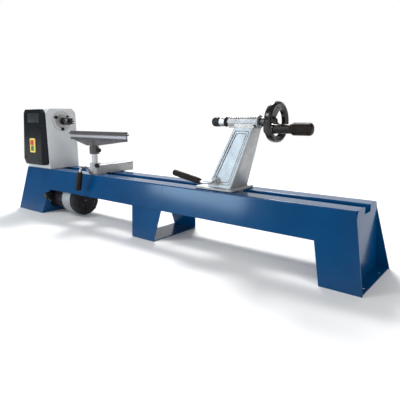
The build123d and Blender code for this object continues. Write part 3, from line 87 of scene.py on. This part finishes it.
# ---------------------------------------------------------------- materials
def new_material(name, colour, rough, metal=0.0, coat=0.0, coat_rough=0.1, spec=0.5):
    """Principled material with its constant values set on the shader's own sockets."""
    mat = bpy.data.materials.new(name)
    mat.use_nodes = True
    shader = mat.node_tree.nodes["Principled BSDF"]
    shader.inputs["Base Color"].default_value = (*colour, 1)
    shader.inputs["Roughness"].default_value = rough
    shader.inputs["Metallic"].default_value = metal
    shader.inputs["Coat Weight"].default_value = coat
    shader.inputs["Coat Roughness"].default_value = coat_rough
    shader.inputs["Specular IOR Level"].default_value = spec
    return mat, shader


def noise(mat, scale, detail, stretch=(1, 1, 1)):
    """Noise over the object's own coordinates."""
    tree = mat.node_tree
    coords = tree.nodes.new("ShaderNodeTexCoord")
    mapping = tree.nodes.new("ShaderNodeMapping")
    mapping.inputs["Scale"].default_value = stretch
    tree.links.new(coords.outputs["Object"], mapping.inputs["Vector"])
    node = tree.nodes.new("ShaderNodeTexNoise")
    node.inputs["Scale"].default_value = scale
    node.inputs["Detail"].default_value = detail
    node.inputs["Roughness"].default_value = 0.55
    tree.links.new(mapping.outputs["Vector"], node.inputs["Vector"])
    return node.outputs["Fac"]


def ramp(mat, source, low, high, start=0.3, end=0.7):
    """Colour that goes from low to high with the source."""
    tree = mat.node_tree
    node = tree.nodes.new("ShaderNodeValToRGB")
    node.color_ramp.elements[0].position = start
    node.color_ramp.elements[1].position = end
    node.color_ramp.elements[0].color = (*low, 1)
    node.color_ramp.elements[1].color = (*high, 1)
    tree.links.new(source, node.inputs["Fac"])
    return node.outputs["Color"]


def surface(mat, shader, layers, edge):
    """Chains bump layers of (height, distance, strength) over a normal softened at edges, in metres."""
    tree = mat.node_tree
    bevel = tree.nodes.new("ShaderNodeBevel")
    bevel.samples = 4
    bevel.inputs["Radius"].default_value = edge
    last = bevel.outputs["Normal"]
    for height, distance, strength in layers:
        bump = tree.nodes.new("ShaderNodeBump")
        bump.inputs["Distance"].default_value = distance
        bump.inputs["Strength"].default_value = strength
        tree.links.new(height, bump.inputs["Height"])
        tree.links.new(last, bump.inputs["Normal"])
        last = bump.outputs["Normal"]
    tree.links.new(last, shader.inputs["Normal"])


def vary_rough(mat, shader, source, low, high):
    """Roughness that goes from low to high with the source."""
    tree = mat.node_tree
    span = tree.nodes.new("ShaderNodeMapRange")
    span.inputs["To Min"].default_value = low
    span.inputs["To Max"].default_value = high
    tree.links.new(source, span.inputs["Value"])
    tree.links.new(span.outputs["Result"], shader.inputs["Roughness"])


def painted(name, low, high, rough, coat, spec=0.2):
    """Sprayed paint: slow drift in tone, orange peel and a slight waviness of the sheet."""
    mat, shader = new_material(name, high, rough, coat=coat, coat_rough=0.12, spec=spec)
    colour = ramp(mat, noise(mat, 6, 3), low, high, 0.35, 0.65)
    mat.node_tree.links.new(colour, shader.inputs["Base Color"])
    vary_rough(mat, shader, noise(mat, 25, 4), rough * 0.8, rough * 1.3)
    peel = (noise(mat, 420, 2), 0.00012, 0.25)
    wave = (noise(mat, 14, 2), 0.0006, 0.12)
    surface(mat, shader, [peel, wave], 0.0009)
    return mat


def casting_layers(mat, grain):
    """Fine sand grain over a coarser unevenness."""
    return [(noise(mat, 900, 3), grain, 0.3), (noise(mat, 120, 3), 0.0003, 0.12)]


def cast(name, low, high, metal, rough=0.42):
    """Cast metal with a sanded skin."""
    mat, shader = new_material(name, high, rough, metal)
    colour = ramp(mat, noise(mat, 40, 5), low, high, 0.3, 0.7)
    mat.node_tree.links.new(colour, shader.inputs["Base Color"])
    vary_rough(mat, shader, noise(mat, 90, 4), rough * 0.8, rough * 1.25)
    surface(mat, shader, casting_layers(mat, 0.00025), 0.0008)
    return mat


def brushed(name, colour, rough=0.28, along=(1, 60, 60)):
    """Turned or ground steel with fine lines."""
    mat, shader = new_material(name, colour, rough, 1.0)
    lines = noise(mat, 30, 3, along)
    shade = [c * 0.8 for c in colour]
    mat.node_tree.links.new(ramp(mat, lines, shade, colour), shader.inputs["Base Color"])
    vary_rough(mat, shader, lines, rough * 0.7, rough * 1.4)
    surface(mat, shader, [(lines, 0.0001, 0.2)], 0.0004)
    return mat


def plastic(name, low, high, rough=0.4, coat=0.0):
    """Moulded plastic with a fine grain."""
    mat, shader = new_material(name, high, rough, coat=coat, coat_rough=0.08, spec=0.14)
    mat.node_tree.links.new(ramp(mat, noise(mat, 12, 4), low, high), shader.inputs["Base Color"])
    vary_rough(mat, shader, noise(mat, 30, 4), rough * 0.8, rough * 1.25)
    surface(mat, shader, [(noise(mat, 700, 2), 0.0001, 0.3)], 0.0006)
    return mat


def rest_iron_with_painted_highlight():
    """Dark cast iron with a painted highlight band where light falls on the tool rest's inclined face."""
    mat, shader = new_material("rest_iron", (0.08, 0.072, 0.075), 0.42, 0.45)
    tree = mat.node_tree
    coords = tree.nodes.new("ShaderNodeTexCoord")
    split = tree.nodes.new("ShaderNodeSeparateXYZ")
    tree.links.new(coords.outputs["Object"], split.inputs["Vector"])
    # mask by height for the painted highlight of the lit inclined face
    band = tree.nodes.new("ShaderNodeValToRGB")
    stops = band.color_ramp.elements
    for place, _ in REST_HIGHLIGHT_BAND[1:-1]:
        stops.new(place)
    for stop, (_, value) in zip(stops, REST_HIGHLIGHT_BAND):
        stop.color = (value, value, value, 1)
    tree.links.new(split.outputs["Z"], band.inputs["Fac"])
    mix = tree.nodes.new("ShaderNodeMix")
    mix.data_type = "RGBA"
    tree.links.new(band.outputs["Color"], mix.inputs["Factor"])
    iron = ramp(mat, noise(mat, 40, 5), (0.06, 0.054, 0.056), (0.1, 0.09, 0.094))
    tree.links.new(iron, mix.inputs["A"])
    # colour of the painted highlight
    mix.inputs["B"].default_value = (0.36, 0.34, 0.35, 1)
    tree.links.new(mix.outputs["Result"], shader.inputs["Base Color"])
    surface(mat, shader, casting_layers(mat, 0.0002), 0.0008)
    return mat


# Colours are pairs of a darker and a lighter tone, then roughness and coat
PAINTS = {
    "bed_paint": ((0.0, 0.041, 0.127), (0.0004, 0.053, 0.158), 0.22, 0.3, 0.08),
    "head_paint": ((0.5, 0.52, 0.53), (0.6, 0.62, 0.63), 0.35, 0.05),
    "black_steel": ((0.006, 0.006, 0.007), (0.014, 0.014, 0.016), 0.4, 0.03, 0.14),
    "wheel_gloss": ((0.007, 0.006, 0.005), (0.012, 0.01, 0.009), 0.2, 0.4, 0.22),
}
PLASTICS = {
    "belt_rubber": ((0.012, 0.012, 0.012), (0.03, 0.03, 0.03), 0.7),
    "panel_plastic": ((0.002, 0.003, 0.006), (0.005, 0.007, 0.011), 0.14, 0.12),
    "black_plastic": ((0.01, 0.01, 0.011), (0.02, 0.02, 0.022), 0.4),
    "grip_plastic": ((0.006, 0.004, 0.002), (0.014, 0.009, 0.006), 0.34, 0.04),
    "yellow_plastic": ((0.62, 0.47, 0.1), (0.7, 0.55, 0.14), 0.3, 0.3),
    "red_plastic": ((0.42, 0.04, 0.025), (0.5, 0.06, 0.04), 0.28, 0.3),
    "green_plastic": ((0.025, 0.1, 0.03), (0.04, 0.14, 0.05), 0.28, 0.3),
    "label_black": ((0.015, 0.018, 0.017), (0.022, 0.026, 0.025), 0.32, 0.0),
}
MATS = {name: painted(name, *values) for name, values in PAINTS.items()}
MATS |= {name: plastic(name, *values) for name, values in PLASTICS.items()}
MATS["steel"] = brushed("steel", (0.5, 0.5, 0.52))
MATS["dark_steel"] = brushed("dark_steel", (0.09, 0.088, 0.09), 0.3)
MATS["cast_aluminium"] = cast("cast_aluminium", (0.33, 0.335, 0.34), (0.43, 0.435, 0.44), 0.65)
# darker copy of the cast aluminium: painted shade along the column's groove lines
MATS["bead_painted_shade"] = cast("bead_painted_shade", (0.13, 0.135, 0.14), (0.19, 0.195, 0.2), 0.5)
MATS["rest_iron"] = rest_iron_with_painted_highlight()
DARK_STEEL_NODES = ("spindle", "spur_centre", "feed_screw", "quill", "rest_collar")


def dress_nodes():
    """Gives each CAD node the material of its slot, or the darker steel."""
    for part in frame["record"]["subparts"]:
        look = "dark_steel" if part["node"] in DARK_STEEL_NODES else part["material_slot"]
        slots = nodes[part["node"]].data.materials
        slots.clear()
        slots.append(MATS[look])


# ---------------------------------------------------------------- mesh helpers
def new_object(name, data):
    obj = bpy.data.objects.new(name, data)
    bpy.context.scene.collection.objects.link(obj)
    return obj


def add_mesh(name, mesh, slot, body, smooth=35, look=None):
    """Piece that rides on a body, smooth up to an angle in degrees between its faces."""
    obj = new_object(name, mesh)
    mesh.materials.append(MATS[look or slot])
    for polygon in mesh.polygons:
        polygon.use_smooth = True
    mesh.set_sharp_from_angle(angle=math.radians(smooth))
    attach(obj, body)
    return obj


def finished(bm, name):
    mesh = bpy.data.meshes.new(name)
    bm.to_mesh(mesh)
    bm.free()
    return mesh


def around(segments):
    return [2 * math.pi * step / segments for step in range(segments)]


def turned_rings(bm, start, direction, profile, segments):
    """Rings of vertices round an axis, one for each (distance, radius) of the profile."""
    turn = Vector(direction).normalized().to_track_quat("Z", "Y")
    rings = []
    for along, radius in profile:
        points = [Vector((radius * math.cos(a), radius * math.sin(a), along)) for a in around(segments)]
        rings.append([bm.verts.new((Vector(start) + turn @ point) * MM) for point in points])
    return rings


def bridge(bm, low, high):
    """Band of faces between two rings of vertices."""
    for step in range(len(low)):
        after = (step + 1) % len(low)
        bm.faces.new((low[step], low[after], high[after], high[step]))


def bridge_loop(bm, rings):
    for index, low in enumerate(rings):
        bridge(bm, low, rings[(index + 1) % len(rings)])


def lathe_mesh(name, start, direction, profile, segments):
    """Turned solid along a direction, closed by a flat face at each end."""
    bm = bmesh.new()
    rings = turned_rings(bm, start, direction, profile, segments)
    for low, high in zip(rings, rings[1:]):
        bridge(bm, low, high)
    bm.faces.new(rings[0][::-1])
    bm.faces.new(rings[-1])
    bmesh.ops.recalc_face_normals(bm, faces=bm.faces)
    return finished(bm, name)


def turned_ring(name, start, direction, profile, slot, body, look=None):
    """Turned ring whose profile closes on its first point."""
    bm = bmesh.new()
    bridge_loop(bm, turned_rings(bm, start, direction, profile, 64))
    bmesh.ops.recalc_face_normals(bm, faces=bm.faces)
    return add_mesh(name, finished(bm, name), slot, body, 40, look)


def box_mesh(name, low, high, bevel):
    """Box between two corners with rounded edges."""
    bm = bmesh.new()
    bmesh.ops.create_cube(bm, size=1)
    middle = (Vector(low) + Vector(high)) / 2
    size = Vector(high) - Vector(low)
    for vert in bm.verts:
        vert.co = (vert.co * size + middle) * MM
    bmesh.ops.bevel(
        bm, geom=bm.edges[:], offset=bevel * MM, segments=3, affect="EDGES", profile=0.5,
    )
    return finished(bm, name)


# ---------------------------------------------------------------- pieces
def ribbed_grip(name, node, body, ends, radius, ribs=9):
    """Moulded handle with rounded rings along it and a plain collar at the rod's end."""
    start = ends[0]
    direction = Vector(ends[1]) - Vector(start)
    length = direction.length
    profile = [(0, radius * 0.55), (0.6, radius * 0.72), (2.5, radius * 0.8), (5, radius * 0.8)]
    cap = 7
    first, last = 6.0, length - cap
    pitch = (last - first) / ribs
    rib_shape = ((0.0, 0.84), (0.12, 0.95), (0.3, 1.0), (0.7, 1.0), (0.88, 0.95), (0.999, 0.84))
    for rib in range(ribs):
        low = first + rib * pitch
        profile += [(low + share * pitch, radius * size) for share, size in rib_shape]
    for share, size in ((0.2, 0.97), (0.5, 0.88), (0.8, 0.66), (0.95, 0.38), (1.0, 0.1)):
        profile.append((last + share * cap, radius * size))
    obj = add_mesh(name, lathe_mesh(name, start, direction, profile, 64), "grip_plastic", body, 60)
    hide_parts(node)


def crank_grip_ribbed():
    """Crank grip: plain narrow neck, then a wider ribbed barrel with a rounded end."""
    profile = [(0, 9.5), (0.6, 10.8), (1.5, 11), (38, 11), (43, 11.4), (46, 13.6)]
    ribs, first, pitch = 9, 47, 4.2
    rib_shape = ((0.0, 13.5), (0.15, 14.3), (0.3, 14.5), (0.7, 14.5), (0.85, 14.3), (0.999, 13.5))
    for rib in range(ribs):
        low = first + rib * pitch
        profile += [(low + share * pitch, size) for share, size in rib_shape]
    profile += [(86, 14.4), (88.5, 13.6), (91, 11.5), (92.5, 8), (92.9, 3)]
    mesh = lathe_mesh("crank_grip_ribbed", CRANK_GRIP_START, ALONG_BED, profile, 72)
    obj = add_mesh("crank_grip_ribbed", mesh, "grip_plastic", "crank", 60)
    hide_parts("crank_grip")


def cap_screw(name, place, direction, radius, height, body):
    """Socket cap screw head standing on a face, with its recess."""
    inner = radius * 0.5
    profile = [(0, radius), (height * 0.75, radius), (height, radius * 0.85), (height, inner)]
    profile += [(height * 0.45, inner * 0.96), (height * 0.45, 0.05)]
    add_mesh(name, lathe_mesh(name, place, direction, profile, 24), "black_steel", body, 40)


def panel_y(z):
    """Y of the switch panel's leaning face at a height."""
    return PANEL_FOOT[0] + (z - PANEL_FOOT[1]) * PANEL_LEAN


def panel_details():
    """Blank label and the screws that hold the panel."""
    left, right = LABEL_X
    foot, head = LABEL_Z
    proud, depth = 0.35, 2
    low = (left, panel_y(foot) - proud, foot)
    label = box_mesh("panel_label", low, (right, panel_y(foot) + depth, head), 0.3)
    for vert in label.vertices:
        vert.co.y += (vert.co.z - foot * MM) * PANEL_LEAN
    add_mesh("panel_label", label, "panel_plastic", "bed", 35, "label_black")
    for index, (x, z) in enumerate(PANEL_SCREWS):
        cap_screw(f"panel_screw_{index}", (x, panel_y(z) + 0.4, z), (0, -1, 0.04), 3.2, 1.4, "bed")


def banjo_gap_shade_pads():
    """Thin black pads between the banjo's side walls and the bed, clear of the block between them; their
    black also paints the shade of the gap under the arm.
    """
    sides = ((-309.1, -299), (-270, -259.9))
    half, low, high = 9, 165.2, 168
    for index, (y, (left, right)) in enumerate((y, side) for y in (-5, 62) for side in sides):
        name = f"banjo_gap_shade_pad_{index}"
        mesh = box_mesh(name, (left, y - half, low), (right, y + half, high), 0.3)
        add_mesh(name, mesh, "black_plastic", "banjo")


def column_point(side, up, across, margin):
    """Point on the column's leaning face, from its share of the height and of the half width."""
    half = COLUMN_HALF_X - COLUMN_HALF_TAPER * up - margin
    return Vector((
        COLUMN_FOOT_X + COLUMN_SHIFT * up + across * half,
        side * (COLUMN_HALF_Y - COLUMN_TAPER_Y * up),
        COLUMN_FOOT_Z + COLUMN_RISE * up,
    ))


def rounded_loop(corners, round_by, steps):
    """Points along a closed loop of straight runs whose corners are rounded."""
    line = []
    for index, corner in enumerate(corners):
        before = (corners[index - 1] - corner).normalized() * round_by
        after = (corners[(index + 1) % len(corners)] - corner).normalized() * round_by
        for step in range(steps + 1):
            t = step / steps
            line.append(corner + before * (1 - t) ** 2 + after * t ** 2)
    return line


def bead_loop(name, line, outward, radius):
    """Round bead along a closed line that lies in a face."""
    bm = bmesh.new()
    rings = []
    for index, point in enumerate(line):
        along = (line[(index + 1) % len(line)] - line[index - 1]).normalized()
        across = along.cross(outward).normalized()
        offsets = [(across * math.cos(a) + outward * math.sin(a)) * radius for a in around(10)]
        rings.append([bm.verts.new((point + offset) * MM) for offset in offsets])
    bridge_loop(bm, rings)
    bmesh.ops.recalc_face_normals(bm, faces=bm.faces)
    return finished(bm, name)


def column_beads():
    """Rounded beads round the column's recess, on both of its leaning faces, in a darker aluminium that
    paints the shade of the groove lines.
    """
    for side, word in ((-1, "front"), (1, "rear")):
        outward = Vector((0, side * COLUMN_RISE, COLUMN_TAPER_Y)).normalized()
        for margin, depth, label in ((8, 0.2, "outer"), (14, 1.4, "inner")):
            low, high = (margin + 3) / COLUMN_SLOPE, 1 - margin / COLUMN_SLOPE
            spots = ((low, -1), (low, 1), (high, 1), (high, -1))
            corners = [column_point(side, up, across, margin) - outward * depth for up, across in spots]
            name = f"column_bead_{word}_{label}"
            mesh = bead_loop(name, rounded_loop(corners, 6, 6), outward, 0.85)
            add_mesh(name, mesh, "cast_aluminium", "tailstock", 60, "bead_painted_shade")


def spindle_line_rings():
    """Live centre's collar, lines on the bearing flange and the barrel's rim."""
    collar = [(0, 12.82), (1.2, 12.95), (2.4, 12.2), (6.6, 8.3), (6.6, 7.6), (2, 11.4), (0, 12.4)]
    place = (233.1, 0, SPINDLE_Z)
    turned_ring("live_centre_collar", place, ALONG_BED, collar, "steel", "quill", "black_plastic")
    place = (-527.5, 0, SPINDLE_Z)
    for index, middle in enumerate((33.0, 36.5)):
        line = [(0, middle - 0.35), (0.35, middle - 0.2), (0.35, middle + 0.2), (0, middle + 0.35),
                (-0.2, middle)]
        turned_ring(f"flange_line_{index}", place, ALONG_BED, line, "head_paint", "bed", "label_black")
    rim = [(0, 14.0), (0, 16.2), (1, 16.8), (4, 16.8), (5, 16.2), (5, 14.0)]
    turned_ring("barrel_rim", (330.3, 0, SPINDLE_Z), ALONG_BED, rim, "cast_aluminium", "tailstock")


def housing_washers():
    """Washers under the three screws of the spindle's bearing housing."""
    washer, circle = [(0, 4.2), (0.1, 5.6), (0.7, 5.6), (0.7, 4.2)], 29
    for index, turn in enumerate((30, 150, 270)):
        angle = math.radians(turn)
        spot = (-523.4, circle * math.cos(angle), SPINDLE_Z + circle * math.sin(angle))
        turned_ring(f"housing_washer_{index}", spot, ALONG_BED, washer, "black_steel", "bed")


def motor_details():
    """Band round the motor's body and the four screws of its fan cover."""
    motor_y, motor_z, circle = -24, 60, 49.6
    band = [(0, 52.5), (0.4, 55.0), (4.6, 55.0), (5, 52.5)]
    place = (-396, motor_y, motor_z)
    turned_ring("motor_band", place, ALONG_BED, band, "cast_aluminium", "motor_mount")
    for index, turn in enumerate((45, 135, 225, 315)):
        angle = math.radians(turn)
        spot = (-365, motor_y + circle * math.cos(angle), motor_z + circle * math.sin(angle))
        cap_screw(f"fan_cover_screw_{index}", spot, ALONG_BED, 2.4, 0.5, "motor_mount")


# ---------------------------------------------------------------- stage, light and camera
def glowing_white(tree):
    glow = tree.nodes.new("ShaderNodeEmission")
    glow.inputs["Strength"].default_value = 1.0
    return glow.outputs["Emission"]


def grid(name, size):
    bm = bmesh.new()
    bmesh.ops.create_grid(bm, x_segments=1, y_segments=1, size=size)
    return finished(bm, name)


def floor():
    """White floor that takes shadows near the lathe and fades to plain white further out."""
    mesh = grid("floor", FLOOR_HALF)
    mat, shader = new_material("floor_white", (0.9, 0.9, 0.9), 0.6)
    tree = mat.node_tree
    coords = tree.nodes.new("ShaderNodeTexCoord")
    length = tree.nodes.new("ShaderNodeVectorMath")
    length.operation = "LENGTH"
    tree.links.new(coords.outputs["Object"], length.inputs[0])
    fade = tree.nodes.new("ShaderNodeMapRange")
    fade.interpolation_type = "SMOOTHSTEP"
    fade.inputs["From Min"].default_value, fade.inputs["From Max"].default_value = FLOOR_FADE
    tree.links.new(length.outputs["Value"], fade.inputs["Value"])
    mix = tree.nodes.new("ShaderNodeMixShader")
    tree.links.new(fade.outputs["Result"], mix.inputs["Fac"])
    tree.links.new(shader.outputs["BSDF"], mix.inputs[1])
    tree.links.new(glowing_white(tree), mix.inputs[2])
    tree.links.new(mix.outputs["Shader"], tree.nodes["Material Output"].inputs["Surface"])
    mesh.materials.append(mat)
    new_object("floor", mesh)


def cards(white):
    """Two bright cards, behind the lathe for the photograph's view and for the opposite one."""
    for turn, name in ((39.1, "backdrop_front_view"), (219.1, "backdrop_rear_view")):
        card = grid(name, 1)
        card.materials.append(white)
        board = new_object(name, card)
        angle = math.radians(turn)
        board.scale = (*CARD_HALF, 1)
        board.rotation_euler = (math.radians(90), 0, angle)
        board.location = (-CARD_DISTANCE * math.sin(angle), CARD_DISTANCE * math.cos(angle), CARD_Z)


def far_wall(white):
    """White ring far behind everything, seen by the camera only, so that it lights nothing."""
    bm = bmesh.new()
    rings = []
    for z in (WALL_BASE, WALL_TOP):
        spots = [(math.cos(a), math.sin(a)) for a in around(WALL_SEGMENTS)]
        rings.append([bm.verts.new((WALL_DISTANCE * x, WALL_DISTANCE * y, z)) for x, y in spots])
    bridge(bm, *rings)
    mesh = finished(bm, "far_wall")
    mesh.materials.append(white)
    ring = new_object("far_wall", mesh)
    for kind in ("diffuse", "glossy", "transmission", "volume_scatter", "shadow"):
        setattr(ring, f"visible_{kind}", False)


def stage():
    floor()
    white = bpy.data.materials.new("backdrop_white")
    white.use_nodes = True
    tree = white.node_tree
    tree.links.new(glowing_white(tree), tree.nodes["Material Output"].inputs["Surface"])
    cards(white)
    far_wall(white)


def studio_world():
    """Even, dim white surround."""
    world = bpy.data.worlds.new("studio")
    world.use_nodes = True
    world.node_tree.nodes["Background"].inputs["Color"].default_value = (1, 1, 1, 1)
    world.node_tree.nodes["Background"].inputs["Strength"].default_value = 0.2
    bpy.context.scene.world = world


def area_light(name, place, aim, size, power, colour=(1, 1, 1)):
    data = bpy.data.lights.new(name, "AREA")
    data.shape = "RECTANGLE"
    data.size, data.size_y = size
    data.energy = power
    data.color = colour
    lamp = new_object(name, data)
    lamp.location = place
    lamp.rotation_euler = (Vector(aim) - Vector(place)).to_track_quat("-Z", "Y").to_euler()


def lights():
    """Key behind on the left, fill in front, a low strip for the wall's highlight, and one side light."""
    warm, sky = (1, 0.99, 0.97), (0.62, 0.83, 1.0)
    area_light("key", (-1.0, 1.3, 2.2), (0, 0, 0), (0.9, 0.6), 84)
    area_light("front", (-1.1, -1.7, 1.9), (-0.1, 0, 0.2), (0.9, 0.6), 20, warm)
    area_light("streak", (-1.66, -2.37, 0.64), (0.2, -0.07, 0.13), (0.95, 0.45), 24, sky)
    area_light("side", (2.4, -0.5, 1.1), (0, 0, 0.2), (0.7, 0.9), 11)


def camera():
    yaw, pitch, roll = (math.radians(angle) for angle in (CAMERA_YAW, CAMERA_PITCH, CAMERA_ROLL))
    flat = math.cos(pitch)
    forward = Vector((-math.sin(yaw) * flat, math.cos(yaw) * flat, -math.sin(pitch)))
    level = Vector((math.cos(yaw), math.sin(yaw), 0))
    upright = level.cross(forward)
    right = level * math.cos(roll) + upright * math.sin(roll)
    up = upright * math.cos(roll) - level * math.sin(roll)
    data = bpy.data.cameras.new("camera")
    data.lens = LENS
    data.sensor_width = SENSOR
    data.clip_end = 100
    eye = new_object("camera", data)
    turn = Matrix((right, up, -forward)).transposed().to_4x4()
    eye.matrix_world = Matrix.Translation(CAMERA_PLACE) @ turn
    bpy.context.scene.camera = eye


dress_nodes()
ribbed_grip("banjo_grip_ribbed", "banjo_lever_grip", "banjo_lever", BANJO_GRIP, 10)
ribbed_grip("tail_grip_ribbed", "tailstock_lever_grip", "tailstock_lever", TAIL_GRIP, 9, 12)
crank_grip_ribbed()
panel_details()
banjo_gap_shade_pads()
column_beads()
spindle_line_rings()
motor_details()
cap_screw("barrel_screw", (326, -14.2, 331), (0, -1, -0.3), 3.0, 2.4, "tailstock")
housing_washers()

stage()
studio_world()
lights()
camera()
bpy.context.scene.view_settings.view_transform = "Standard"
